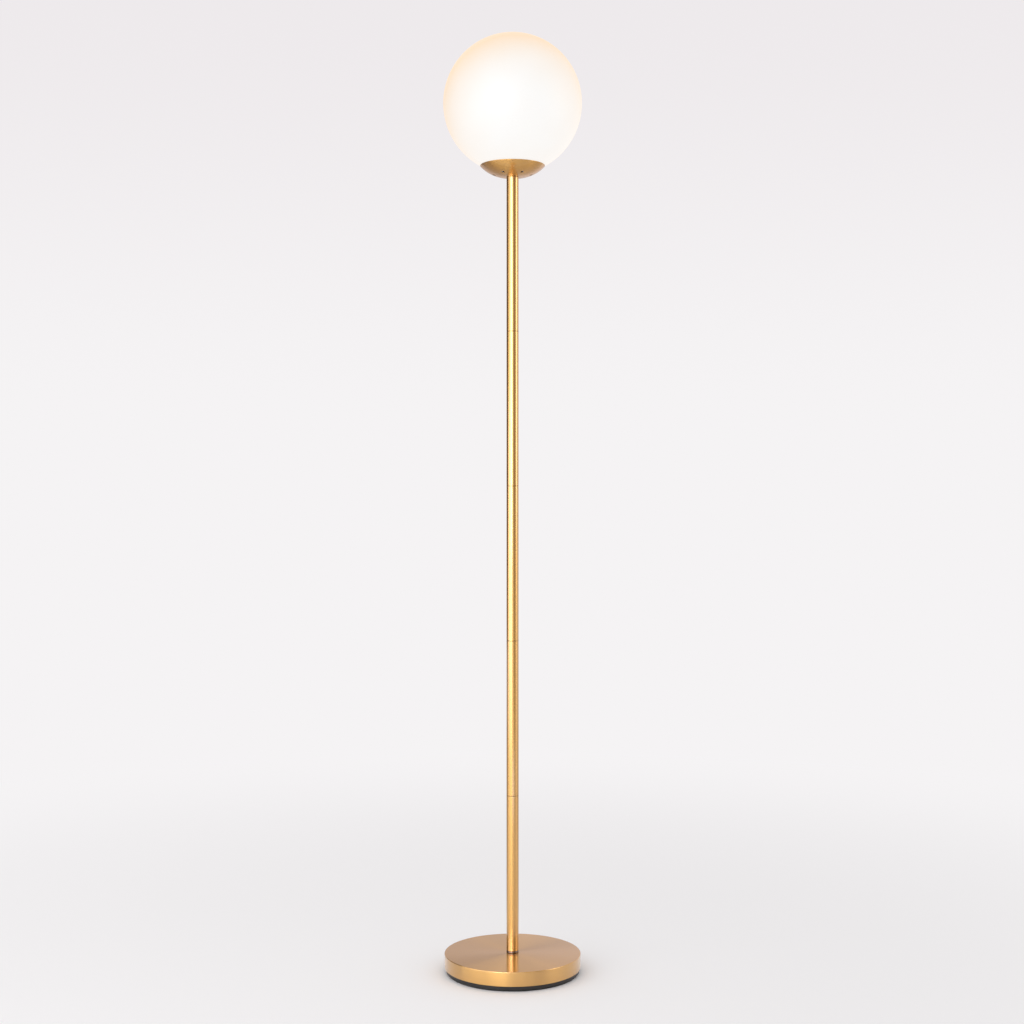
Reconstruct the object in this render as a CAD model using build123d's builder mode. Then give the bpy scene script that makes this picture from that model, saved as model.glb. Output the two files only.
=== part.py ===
"""Globe floor lamp: weighted disc base, five screwed pole sections, cup and opal glass globe.

Units are millimetres. The origin is on the floor under the pole, +Z points up, the front is -Y
and the cord outlet is at the rear, +Y. Screw threads are plain cylinders with a thread clearance.
"""
import os
from math import cos, radians, sin, sqrt

from build123d import *

# ---- fits and clearances ------------------------------------------------------------------
thread_gap = 0.03      # radial, between a screwed pair
press_gap = 0.02       # radial, between a bush and the tube it is pressed into
clear_gap = 0.25       # radial, round a rod that passes through a hole
tray_gap = 0.3         # radial, hem to casing and weight to casing
glass_gap = 0.3        # between the glass and each thing that holds it
rim_gap = 0.4          # between the glass and the metal rim of the cup
bulb_gap = 0.08        # radial, bulb cap in the screw shell

# ---- base ---------------------------------------------------------------------------------
pad_thickness = 1.5
pad_inset = 2.0            # pad edge inside the casing edge
pad_opening = 30.0         # radius of the hole in the pad, under the nut
base_radius = 111.75       # brass cover
cover_height = 22.9
cover_wall = 1.2
cover_edge = 1.3           # radius of the top edge
hem_width = 2.4            # turned-in lower edge of the cover
hem_height = 2.2
hem_edge = 0.7
band_height = 7.2          # black casing seen under the cover
band_inset = 2.7
band_edge = 0.8
casing_wall = 2.5
casing_floor = 1.2
casing_lap = 15.0          # how far the casing wall rises inside the cover
weight_chamfer = 2.0
recess_radius = 24.0       # room under the weight for the nut
recess_depth = 14.0
channel_width = 9.0        # groove for the cord, from the recess to the rear
channel_height = 8.0
foot_ring_height = 3.5
foot_ring_proud = 0.15
foot_ring_edge = 1.1

# ---- cord outlet --------------------------------------------------------------------------
gland_bore = 2.5           # radius
gland_wall = 0.7
gland_flange_width = 13.0
gland_flange_height = 6.6
gland_flange_thickness = 1.2

# ---- pole ---------------------------------------------------------------------------------
pole_radius = 10.0
tube_wall = 1.0
tube_edge = 0.35
section_length = 254.0
section_count = 5
bush_length = 14.0
bush_setback = 0.5         # bush end face inside the tube end
bush_edge = 0.6
rod_radius = 5.0           # hollow threaded rod
rod_bore = 3.5             # radius
rod_edge = 0.5

# ---- nuts and washers ---------------------------------------------------------------------
nut_across_flats = 17.0
base_nut_height = 6.0
base_washer_radius = 20.0
base_washer_thickness = 2.5
lock_washer_radius = 8.5
lock_washer_thickness = 2.0
lock_washer_slit = 1.5
rod_overhang = 1.2         # rod end past its nut
head_washer_radius = 9.0
head_washer_thickness = 1.2
head_nut_height = 5.0

# ---- cup ----------------------------------------------------------------------------------
cup_rim_radius = 53.5
cup_height = 18.8
cup_wall = 1.0
cup_edge = 0.3
vent_radius = 2.5
vent_circle = 30.5
vent_count = 6

# ---- globe and what holds it --------------------------------------------------------------
globe_radius = 114.0
globe_wall = 3.0
mouth_radius = 40.0
mouth_edge = 1.1
ring_section = 1.25        # radius of the round section of the seat ring
spring_thickness = 0.8
spring_width = 9.0
spring_hub_inset = 0.5     # hub edge inside the flat of the cup
spring_arms = 3
spring_bend = 2.5
spring_rise = 8.0          # height of the leaf above the inside of the glass mouth
spring_lean = 3.0          # how far its tip leans in

# ---- lampholder ---------------------------------------------------------------------------
holder_radius = 17.0
holder_wall = 1.2
holder_cap_height = 14.0
holder_cap_floor = 2.0
holder_hub_radius = 8.0
holder_hub_height = 5.0
holder_sleeve_height = 36.0
sleeve_lap = 5.0           # sleeve inside the cap
sleeve_wall = 1.0
sleeve_lip = 1.0
liner_wall = 0.4
block_height = 8.0         # insulating block under the screw shell
block_pillar = 10.0        # radius of its stem
block_stem = 6.0
screw_shell_wall = 0.5
screw_shell_height = 23.0
contact_thickness = 0.6
contact_width = 5.0
contact_rise = 3.0
contact_reach = 7.0        # from the axis to the riveted end
contact_nose = 4.0         # from the axis to the free end
terminal_radius = 2.2
terminal_height = 2.4
terminal_shank_radius = 1.4
terminal_shank_length = 3.5

# ---- bulb ---------------------------------------------------------------------------------
bulb_length = 108.0
bulb_radius = 30.0
bulb_wall = 1.5
bulb_dome_drop = 16.0      # dome edge below the centre of the dome
bulb_cap_radius = 13.1
bulb_cap_wall = 0.4
bulb_cap_length = 18.0
bulb_skirt = 4.0           # plain part of the cap above its thread
bulb_seat_height = 5.5     # insulator and tip below the thread
bulb_tip_radius = 4.5
bulb_tip_height = 1.5
bulb_edge = 1.0
led_plate_thickness = 1.6

# ---- levels and radii that follow from the sizes above ------------------------------------
casing_radius = base_radius - band_inset
casing_bore = casing_radius - casing_wall
casing_floor_top = pad_thickness + casing_floor
cover_bottom = pad_thickness + band_height
cover_top = cover_bottom + cover_height
weight_top = cover_top - cover_wall
recess_top = casing_floor_top + recess_depth
gland_z = cover_bottom - gland_flange_height / 2
pole_bottom = cover_top + foot_ring_height
pole_top = pole_bottom + section_count * section_length
tube_bore = pole_radius - tube_wall
rod_hole = rod_radius + clear_gap
thread_bore = rod_radius + thread_gap
bush_radius = tube_bore - press_gap

# The cup is a flat as wide as the pole and an arc that leaves it tangent.
bowl_run = cup_rim_radius - pole_radius
bowl_radius = (bowl_run**2 + cup_height**2) / (2 * cup_height)
bowl_inner = bowl_radius - cup_wall
rim_sine = bowl_run / bowl_radius
rim_cosine = 1 - cup_height / bowl_radius
rim_inner_radius = pole_radius + bowl_inner * rim_sine
rim_inner_height = bowl_radius - bowl_inner * rim_cosine
cup_floor = pole_top + cup_wall
spring_hub = pole_radius - spring_hub_inset

globe_centre = pole_top + rim_inner_height + sqrt((globe_radius + rim_gap) ** 2 - rim_inner_radius**2)
globe_inner = globe_radius - globe_wall
mouth_outside = globe_centre - sqrt(globe_radius**2 - mouth_radius**2)
mouth_inside = globe_centre - sqrt(globe_inner**2 - mouth_radius**2)

head_washer_bottom = cup_floor + spring_thickness
head_nut_bottom = head_washer_bottom + head_washer_thickness
holder_bottom = head_nut_bottom + head_nut_height
block_bottom = holder_bottom + holder_cap_floor + holder_hub_height
block_top = block_bottom + block_stem + block_height
sleeve_bottom = holder_bottom + holder_cap_height - sleeve_lap
sleeve_radius = holder_radius - holder_wall - clear_gap
liner_radius = sleeve_radius - sleeve_wall - clear_gap
block_radius = liner_radius - liner_wall - clear_gap
screw_shell_bore = bulb_cap_radius + bulb_gap
bulb_tip = block_top + contact_rise + glass_gap
bulb_thread_bottom = bulb_tip + bulb_seat_height
bulb_body_bottom = bulb_thread_bottom + bulb_cap_length
bulb_dome_centre = bulb_tip + bulb_length - bulb_radius
bulb_dome_bottom = bulb_dome_centre - bulb_dome_drop
bulb_dome_edge = sqrt(bulb_radius**2 - bulb_dome_drop**2)
holder_rod_top = holder_bottom + holder_cap_floor + holder_hub_height - rod_overhang


def write_piece(piece, name):
    """Label one finished piece and write it to its own STEP file."""
    piece.part.label = name
    export_step(piece.part, f"parts/{name}.step")


def seat_ring_centre():
    """Return radius and height of the ring section that touches both the bowl and the glass."""
    to_glass = globe_radius + glass_gap + ring_section
    to_bowl = bowl_inner - press_gap - ring_section
    step_r = pole_radius
    step_z = pole_top + bowl_radius - globe_centre
    span = sqrt(step_r**2 + step_z**2)
    along = (span**2 + to_glass**2 - to_bowl**2) / (2 * span)
    aside = sqrt(to_glass**2 - along**2)
    radius = (along * step_r - aside * step_z) / span
    height = globe_centre + (along * step_z + aside * step_r) / span
    return radius, height


os.makedirs("parts", exist_ok=True)

# ==== base =================================================================================

# Soft ring glued under the casing.
with BuildPart() as base_pad:
    with BuildSketch():
        Circle(casing_radius - pad_inset)
        Circle(pad_opening, mode=Mode.SUBTRACT)
    extrude(amount=pad_thickness)
write_piece(base_pad, "base_pad")

# Black casing: a shallow tray whose rim shows as the band under the brass cover.
with BuildPart() as base_casing:
    with BuildSketch(Plane.XY.offset(pad_thickness)):
        Circle(casing_radius)
    extrude(amount=band_height + casing_lap)
    fillet(base_casing.edges().group_by(Axis.Z)[0], band_edge)
    with BuildSketch(Plane.XY.offset(casing_floor_top)):
        Circle(casing_bore)
    extrude(amount=band_height + casing_lap, mode=Mode.SUBTRACT)
    with BuildSketch(Plane.XY.offset(pad_thickness)):
        Circle(pad_opening)
    extrude(amount=casing_floor, mode=Mode.SUBTRACT)
    with BuildSketch(Plane.XZ.offset(-casing_radius - casing_wall)):
        with Locations((0, gland_z)):
            Circle(gland_bore + gland_wall + press_gap)
    extrude(amount=2 * casing_wall + casing_wall, mode=Mode.SUBTRACT)
write_piece(base_casing, "base_casing")

# Cord outlet bush: barrel through the casing wall and a rounded flange outside it.
with BuildPart() as cord_gland:
    with BuildSketch(Plane.XZ.offset(-casing_radius - gland_flange_thickness)):
        with Locations((0, gland_z)):
            SlotOverall(gland_flange_width, gland_flange_height)
    extrude(amount=gland_flange_thickness + casing_wall / 2)
    with BuildSketch():
        Circle(casing_radius)
    extrude(amount=2 * cover_bottom, mode=Mode.SUBTRACT)
    with BuildSketch(Plane.XZ.offset(-casing_radius - gland_flange_thickness)):
        with Locations((0, gland_z)):
            Circle(gland_bore + gland_wall)
    extrude(amount=gland_flange_thickness + casing_wall)
    with BuildSketch(Plane.XZ.offset(-casing_radius - gland_flange_thickness)):
        with Locations((0, gland_z)):
            Circle(gland_bore)
    extrude(amount=2 * casing_wall + gland_flange_thickness, mode=Mode.SUBTRACT)
write_piece(cord_gland, "cord_gland")

# Cast-iron disc with a recess for the nut and a groove for the cord.
with BuildPart() as base_weight:
    with BuildSketch(Plane.XY.offset(casing_floor_top)):
        Circle(casing_bore - tray_gap)
        Circle(rod_hole, mode=Mode.SUBTRACT)
    extrude(amount=weight_top - casing_floor_top)
    chamfer(base_weight.edges().group_by(Axis.Z)[-1].sort_by(SortBy.LENGTH)[-1], weight_chamfer)
    with BuildSketch(Plane.XY.offset(casing_floor_top)):
        Circle(recess_radius)
        with Locations((0, casing_bore / 2)):
            Rectangle(channel_width, casing_bore)
    extrude(amount=channel_height, mode=Mode.SUBTRACT)
    with BuildSketch(Plane.XY.offset(casing_floor_top)):
        Circle(recess_radius)
    extrude(amount=recess_depth, mode=Mode.SUBTRACT)
write_piece(base_weight, "base_weight")

# Spun brass cover with a rounded top edge and a turned-in hem.
with BuildPart() as base_cover:
    with BuildSketch(Plane.XZ):
        with BuildLine():
            Polyline(
                (rod_hole, cover_top),
                (base_radius, cover_top),
                (base_radius, cover_bottom),
                (base_radius - hem_width, cover_bottom),
                (base_radius - hem_width, cover_bottom + hem_height),
                (base_radius - cover_wall, cover_bottom + hem_height),
                (base_radius - cover_wall, weight_top),
                (rod_hole, weight_top),
                close=True,
            )
        make_face()
        fillet(vertices().group_by(Axis.X)[-1].sort_by(Axis.Y)[-1], cover_edge)
        fillet(vertices().group_by(Axis.X)[-1].sort_by(Axis.Y)[0], hem_edge)
    revolve(axis=Axis.Z)
write_piece(base_cover, "base_cover")

# Polished ring between the cover and the pole, with a half-round edge.
with BuildPart() as foot_ring:
    with BuildSketch(Plane.XY.offset(cover_top)):
        Circle(pole_radius + foot_ring_proud)
        Circle(rod_hole, mode=Mode.SUBTRACT)
    extrude(amount=foot_ring_height)
    fillet(foot_ring.edges().sort_by(SortBy.LENGTH)[-2:], foot_ring_edge)
write_piece(foot_ring, "foot_ring")

# Under the weight: washer against its ceiling, lock washer, nut, and the rod they hold.
lock_washer_top = recess_top - base_washer_thickness
base_nut_top = lock_washer_top - lock_washer_thickness

with BuildPart() as base_washer:
    with BuildSketch(Plane.XY.offset(lock_washer_top)):
        Circle(base_washer_radius)
        Circle(rod_hole, mode=Mode.SUBTRACT)
    extrude(amount=base_washer_thickness)
write_piece(base_washer, "base_washer")

with BuildPart() as base_lock_washer:
    with BuildSketch(Plane.XY.offset(base_nut_top)):
        Circle(lock_washer_radius)
        Circle(rod_hole, mode=Mode.SUBTRACT)
        with Locations((0, -lock_washer_radius)):
            Rectangle(lock_washer_slit, 2 * lock_washer_radius, mode=Mode.SUBTRACT)
    extrude(amount=lock_washer_thickness)
write_piece(base_lock_washer, "base_lock_washer")

with BuildPart() as base_nut:
    with BuildSketch(Plane.XY.offset(base_nut_top - base_nut_height)):
        RegularPolygon(nut_across_flats / 2, 6, major_radius=False)
        Circle(thread_bore, mode=Mode.SUBTRACT)
    extrude(amount=base_nut_height)
write_piece(base_nut, "base_nut")

base_rod_bottom = base_nut_top - base_nut_height - rod_overhang
with BuildPart() as base_rod:
    with BuildSketch(Plane.XY.offset(base_rod_bottom)):
        Circle(rod_radius)
        Circle(rod_bore, mode=Mode.SUBTRACT)
    extrude(amount=pole_bottom + bush_length - base_rod_bottom)
    chamfer(base_rod.edges().group_by(Axis.Z)[0] + base_rod.edges().group_by(Axis.Z)[-1], rod_edge / 2)
write_piece(base_rod, "base_rod")

# ==== pole =================================================================================

# Five equal tubes with a threaded bush in each end, and a hollow rod in each joint.
for number in range(1, section_count + 1):
    tube_bottom = pole_bottom + (number - 1) * section_length
    tube_top = tube_bottom + section_length

    with BuildPart() as pole_tube:
        with BuildSketch(Plane.XY.offset(tube_bottom)):
            Circle(pole_radius)
            Circle(tube_bore, mode=Mode.SUBTRACT)
        extrude(amount=section_length)
        chamfer(pole_tube.edges().filter_by(GeomType.CIRCLE).filter_by(lambda edge: edge.radius > tube_bore),
                tube_edge)
    write_piece(pole_tube, f"pole_tube_{number}")

    bush_bottoms = {"lower": tube_bottom + bush_setback, "upper": tube_top - bush_setback - bush_length}
    for end, bush_bottom in bush_bottoms.items():
        with BuildPart() as pole_bush:
            with BuildSketch(Plane.XY.offset(bush_bottom)):
                Circle(bush_radius)
                Circle(thread_bore, mode=Mode.SUBTRACT)
            extrude(amount=bush_length)
            chamfer(pole_bush.edges().filter_by(GeomType.CIRCLE), bush_edge)
        write_piece(pole_bush, f"pole_bush_{number}_{end}")

    if number < section_count:
        with BuildPart() as joint_rod:
            with BuildSketch(Plane.XY.offset(tube_top - bush_length)):
                Circle(rod_radius)
                Circle(rod_bore, mode=Mode.SUBTRACT)
            extrude(amount=2 * bush_length)
            chamfer(joint_rod.edges().filter_by(GeomType.CIRCLE), rod_edge)
        write_piece(joint_rod, f"joint_rod_{number}")

# ==== head =================================================================================

# Spun cup: a flat on the pole, a tangent arc up to the rim, and a ring of vent holes.
with BuildPart() as cup:
    with BuildSketch(Plane.XZ):
        with BuildLine():
            middle_sine = sin(radians(20))
            middle_cosine = cos(radians(20))
            Line((rod_hole, pole_top), (pole_radius, pole_top))
            ThreePointArc(
                (pole_radius, pole_top),
                (pole_radius + bowl_radius * middle_sine, pole_top + bowl_radius * (1 - middle_cosine)),
                (cup_rim_radius, pole_top + cup_height),
            )
            Line((cup_rim_radius, pole_top + cup_height), (rim_inner_radius, pole_top + rim_inner_height))
            ThreePointArc(
                (rim_inner_radius, pole_top + rim_inner_height),
                (pole_radius + bowl_inner * middle_sine, pole_top + bowl_radius - bowl_inner * middle_cosine),
                (pole_radius, cup_floor),
            )
            Line((pole_radius, cup_floor), (rod_hole, cup_floor))
            Line((rod_hole, cup_floor), (rod_hole, pole_top))
        make_face()
        fillet(vertices().sort_by(Axis.Y)[-2:], cup_edge)
    revolve(axis=Axis.Z)
    with BuildSketch(Plane.XY.offset(pole_top - cup_wall)):
        with PolarLocations(vent_circle, vent_count):
            Circle(vent_radius)
    extrude(amount=cup_height, mode=Mode.SUBTRACT)
write_piece(cup, "cup")

# Leaf spring: a hub clamped under the washer and three bowed arms that press on the mouth.
arm_start = spring_hub - spring_bend
arm_touch = mouth_radius - glass_gap
arm_top = mouth_inside + spring_rise
with BuildPart() as globe_spring:
    with BuildSketch(Plane.XY.offset(cup_floor)):
        Circle(spring_hub)
        Circle(rod_hole, mode=Mode.SUBTRACT)
    extrude(amount=spring_thickness)
    for number in range(spring_arms):
        turn = 90 + number * 360 / spring_arms
        with BuildSketch(Plane.XZ.rotated((0, 0, turn))):
            with BuildLine():
                FilletPolyline(
                    (arm_start, cup_floor),
                    (spring_hub, cup_floor),
                    (arm_touch - 2 * spring_bend, mouth_outside - 2 * spring_bend),
                    (arm_touch, mouth_outside + globe_wall / 3),
                    (arm_touch - spring_lean, arm_top),
                    radius=spring_bend,
                )
                offset(amount=spring_thickness, side=Side.LEFT)
            make_face()
        extrude(amount=spring_width / 2, both=True)
write_piece(globe_spring, "globe_spring")

# Round-section soft ring in the bowl, which the glass sits on.
ring_radius, ring_height = seat_ring_centre()
with BuildPart() as seat_ring:
    with BuildSketch(Plane.XZ):
        with Locations((ring_radius, ring_height)):
            Circle(ring_section)
    revolve(axis=Axis.Z)
write_piece(seat_ring, "seat_ring")

with BuildPart() as head_washer:
    with BuildSketch(Plane.XY.offset(head_washer_bottom)):
        Circle(head_washer_radius)
        Circle(rod_hole, mode=Mode.SUBTRACT)
    extrude(amount=head_washer_thickness)
write_piece(head_washer, "head_washer")

with BuildPart() as head_nut:
    with BuildSketch(Plane.XY.offset(head_nut_bottom)):
        RegularPolygon(nut_across_flats / 2, 6, major_radius=False)
        Circle(thread_bore, mode=Mode.SUBTRACT)
    extrude(amount=head_nut_height)
write_piece(head_nut, "head_nut")

# Hollow rod from the last bush up through the cup and into the lampholder cap.
with BuildPart() as head_rod:
    with BuildSketch(Plane.XY.offset(pole_top - bush_length)):
        Circle(rod_radius)
        Circle(rod_bore, mode=Mode.SUBTRACT)
    extrude(amount=holder_rod_top - pole_top + bush_length)
    chamfer(head_rod.edges().filter_by(GeomType.CIRCLE), rod_edge)
write_piece(head_rod, "head_rod")

# Opal glass globe, open at the bottom, with a fire-polished mouth.
with BuildPart() as globe:
    with BuildSketch(Plane.XZ):
        with Locations((0, globe_centre)):
            Circle(globe_radius)
            Circle(globe_inner, mode=Mode.SUBTRACT)
        with Locations((-globe_radius, globe_centre)):
            Rectangle(2 * globe_radius, 2 * globe_radius + globe_wall, mode=Mode.SUBTRACT)
        with Locations((0, globe_centre - globe_radius)):
            Rectangle(2 * mouth_radius, 2 * globe_radius, mode=Mode.SUBTRACT)
        fillet(vertices().group_by(Axis.Y)[0] + vertices().group_by(Axis.Y)[1], mouth_edge)
    revolve(axis=Axis.Z)
write_piece(globe, "globe")

# ---- lampholder ---------------------------------------------------------------------------

# Cap with a threaded hub inside, screwed on the head rod.
with BuildPart() as holder_cap:
    with BuildSketch(Plane.XY.offset(holder_bottom)):
        Circle(holder_radius)
    extrude(amount=holder_cap_height)
    fillet(holder_cap.edges().group_by(Axis.Z)[0], holder_cap_floor)
    with BuildSketch(Plane.XY.offset(holder_bottom + holder_cap_floor)):
        Circle(holder_radius - holder_wall)
    extrude(amount=holder_cap_height, mode=Mode.SUBTRACT)
    with BuildSketch(Plane.XY.offset(holder_bottom + holder_cap_floor)):
        Circle(holder_hub_radius)
    extrude(amount=holder_hub_height)
    with BuildSketch(Plane.XY.offset(holder_bottom)):
        Circle(thread_bore)
    extrude(amount=holder_cap_height, mode=Mode.SUBTRACT)
write_piece(holder_cap, "holder_cap")

# Insulating block: a stem on the hub and a disc that carries the screw shell.
with BuildPart() as holder_block:
    with BuildSketch(Plane.XY.offset(block_bottom)):
        Circle(block_pillar)
    extrude(amount=block_stem)
    with BuildSketch(Plane.XY.offset(block_bottom + block_stem)):
        Circle(block_radius)
    extrude(amount=block_height)
    with BuildSketch(Plane.XY.offset(block_bottom)):
        Circle(rod_radius)
    extrude(amount=block_stem, mode=Mode.SUBTRACT)
    for side in (-1, 1):
        with BuildSketch(Plane.YZ.offset(side * block_pillar)):
            with Locations((0, block_bottom + block_stem / 2)):
                Circle(terminal_shank_radius + thread_gap)
        extrude(amount=-side * (terminal_shank_length + thread_gap), mode=Mode.SUBTRACT)
write_piece(holder_block, "holder_block")

# Two terminal screws in the stem of the block.
with BuildPart() as terminal_screws:
    for side in (-1, 1):
        with BuildSketch(Plane.YZ.offset(side * block_pillar)):
            with Locations((0, block_bottom + block_stem / 2)):
                Circle(terminal_radius)
        extrude(amount=side * terminal_height)
        with BuildSketch(Plane.YZ.offset(side * block_pillar)):
            with Locations((0, block_bottom + block_stem / 2)):
                Circle(terminal_shank_radius)
        extrude(amount=-side * terminal_shank_length)
write_piece(terminal_screws, "terminal_screws")

# Screw shell: a thin cup with a hole in its floor for the centre contact.
with BuildPart() as screw_shell:
    with BuildSketch(Plane.XY.offset(block_top)):
        Circle(screw_shell_bore + screw_shell_wall)
    extrude(amount=screw_shell_height)
    with BuildSketch(Plane.XY.offset(block_top + screw_shell_wall)):
        Circle(screw_shell_bore)
    extrude(amount=screw_shell_height, mode=Mode.SUBTRACT)
    with BuildSketch(Plane.XY.offset(block_top)):
        Circle(contact_reach + clear_gap + contact_width / 2)
    extrude(amount=screw_shell_wall, mode=Mode.SUBTRACT)
write_piece(screw_shell, "screw_shell")

# Centre contact: a bent leaf that rises under the tip of the bulb.
with BuildPart() as centre_contact:
    with BuildSketch(Plane.YZ):
        with BuildLine():
            Polyline(
                (-contact_reach, block_top),
                (-contact_nose, block_top),
                (-contact_nose + contact_rise, block_top + contact_rise - contact_thickness),
                (contact_nose, block_top + contact_rise - contact_thickness),
            )
            offset(amount=contact_thickness, side=Side.LEFT)
        make_face()
    extrude(amount=contact_width / 2, both=True)
write_piece(centre_contact, "centre_contact")

# Insulating liner and the outer sleeve, whose top edge turns in over the liner.
with BuildPart() as holder_liner:
    with BuildSketch(Plane.XY.offset(sleeve_bottom)):
        Circle(liner_radius)
        Circle(liner_radius - liner_wall, mode=Mode.SUBTRACT)
    extrude(amount=holder_sleeve_height - sleeve_wall - press_gap)
write_piece(holder_liner, "holder_liner")

with BuildPart() as holder_sleeve:
    with BuildSketch(Plane.XY.offset(sleeve_bottom)):
        Circle(sleeve_radius)
    extrude(amount=holder_sleeve_height)
    fillet(holder_sleeve.edges().group_by(Axis.Z)[-1], sleeve_wall)
    with BuildSketch(Plane.XY.offset(sleeve_bottom)):
        Circle(sleeve_radius - sleeve_wall)
    extrude(amount=holder_sleeve_height - sleeve_wall, mode=Mode.SUBTRACT)
    with BuildSketch(Plane.XY.offset(sleeve_bottom)):
        Circle(sleeve_radius - sleeve_wall - sleeve_lip)
    extrude(amount=holder_sleeve_height, mode=Mode.SUBTRACT)
write_piece(holder_sleeve, "holder_sleeve")

# ---- bulb ---------------------------------------------------------------------------------

with BuildPart() as bulb_tip_contact:
    with BuildSketch(Plane.XY.offset(bulb_tip)):
        Circle(bulb_tip_radius)
    extrude(amount=bulb_tip_height)
    fillet(bulb_tip_contact.edges().group_by(Axis.Z)[0], bulb_edge)
write_piece(bulb_tip_contact, "bulb_tip")

# Insulator: a cone over the tip and a plug in the cap.
plug_radius = bulb_cap_radius - bulb_cap_wall - press_gap
with BuildPart() as bulb_insulator:
    with BuildSketch(Plane.XZ):
        with BuildLine():
            Polyline(
                (0, bulb_tip + bulb_tip_height),
                (bulb_tip_radius, bulb_tip + bulb_tip_height),
                (plug_radius - bulb_edge, bulb_thread_bottom),
                (plug_radius, bulb_thread_bottom),
                (plug_radius, bulb_thread_bottom + bulb_skirt),
                (0, bulb_thread_bottom + bulb_skirt),
                close=True,
            )
        make_face()
    revolve(axis=Axis.Z)
write_piece(bulb_insulator, "bulb_insulator")

with BuildPart() as bulb_cap:
    with BuildSketch(Plane.XY.offset(bulb_thread_bottom)):
        Circle(bulb_cap_radius)
        Circle(bulb_cap_radius - bulb_cap_wall, mode=Mode.SUBTRACT)
    extrude(amount=bulb_cap_length)
write_piece(bulb_cap, "bulb_cap")

# Housing: a spigot in the cap and a flared body up to the dome.
with BuildPart() as bulb_housing:
    with BuildSketch(Plane.XZ):
        with BuildLine():
            Line((0, bulb_body_bottom - bulb_skirt), (plug_radius, bulb_body_bottom - bulb_skirt))
            Line((plug_radius, bulb_body_bottom - bulb_skirt), (plug_radius, bulb_body_bottom))
            Line((plug_radius, bulb_body_bottom), (bulb_cap_radius + bulb_edge, bulb_body_bottom))
            Spline(
                (bulb_cap_radius + bulb_edge, bulb_body_bottom),
                (bulb_dome_edge, bulb_dome_bottom),
                tangents=((0.25, 1), (0.55, 1)),
            )
            Line((bulb_dome_edge, bulb_dome_bottom), (0, bulb_dome_bottom))
            Line((0, bulb_dome_bottom), (0, bulb_body_bottom - bulb_skirt))
        make_face()
    revolve(axis=Axis.Z)
write_piece(bulb_housing, "bulb_housing")

led_plate_radius = sqrt((bulb_radius - bulb_wall) ** 2 - bulb_dome_drop**2) - clear_gap
with BuildPart() as led_plate:
    with BuildSketch(Plane.XY.offset(bulb_dome_bottom)):
        Circle(led_plate_radius)
    extrude(amount=led_plate_thickness)
write_piece(led_plate, "led_plate")

with BuildPart() as bulb_dome:
    with BuildSketch(Plane.XZ):
        with Locations((0, bulb_dome_centre)):
            Circle(bulb_radius)
            Circle(bulb_radius - bulb_wall, mode=Mode.SUBTRACT)
        with Locations((-bulb_radius, bulb_dome_centre)):
            Rectangle(2 * bulb_radius, 2 * bulb_radius + bulb_wall, mode=Mode.SUBTRACT)
        with Locations((0, bulb_dome_bottom - bulb_radius)):
            Rectangle(2 * bulb_radius, 2 * bulb_radius, mode=Mode.SUBTRACT)
    revolve(axis=Axis.Z)
write_piece(bulb_dome, "bulb_dome")
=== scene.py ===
"""Globe floor lamp: finishes, fine pieces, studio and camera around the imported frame.

Everything is in metres, +Z up, with the pole on the Z axis and the front at -Y. A size is read
from the frame's nodes where it can be, and is otherwise named here in millimetres.
"""
import logging
import math
from collections.abc import Callable
from dataclasses import dataclass, replace
from enum import Enum
from functools import cache, partial

import bmesh
import bpy
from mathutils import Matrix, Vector


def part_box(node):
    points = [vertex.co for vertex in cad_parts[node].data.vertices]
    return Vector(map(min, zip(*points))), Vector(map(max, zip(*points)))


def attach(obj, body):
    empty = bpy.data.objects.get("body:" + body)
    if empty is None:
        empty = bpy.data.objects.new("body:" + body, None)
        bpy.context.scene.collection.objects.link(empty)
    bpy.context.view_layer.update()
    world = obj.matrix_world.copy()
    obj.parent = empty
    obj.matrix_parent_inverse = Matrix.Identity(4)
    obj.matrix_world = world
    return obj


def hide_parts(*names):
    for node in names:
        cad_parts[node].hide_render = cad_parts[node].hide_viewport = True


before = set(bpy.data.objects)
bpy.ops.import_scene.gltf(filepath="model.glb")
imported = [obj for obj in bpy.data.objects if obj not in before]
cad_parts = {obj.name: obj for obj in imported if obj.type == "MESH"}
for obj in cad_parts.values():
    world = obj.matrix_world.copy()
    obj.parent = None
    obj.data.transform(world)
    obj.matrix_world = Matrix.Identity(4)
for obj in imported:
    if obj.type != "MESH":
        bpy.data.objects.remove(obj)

log = logging.getLogger("globe_floor_lamp")

MM = 0.001
SMOOTH_ANGLE = math.radians(32)  # an edge that turns more than this stays sharp
FLAT_ANGLE = math.radians(0.5)  # faces that turn less than this become one
MERGE_DISTANCE = 0.002 * MM
NOISE_LOW, NOISE_HIGH = 0.3, 0.7  # most of a noise's values lie between these

MATH = "ShaderNodeMath"
MIX = "ShaderNodeMix"
MAP_RANGE = "ShaderNodeMapRange"
COLOURS = {"data_type": "RGBA"}
SMOOTHLY = {"interpolation_type": "SMOOTHSTEP"}

Point = tuple[float, float]
Span = tuple[float, float]
Colour = tuple[float, float, float, float]
Material = bpy.types.Material
Piece = bpy.types.Object
Value = float | Vector | tuple[float, ...] | bpy.types.Node | bpy.types.NodeSocket
Adder = Callable[..., bpy.types.Node]


# ==== colours, nodes and meshes ====


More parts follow.
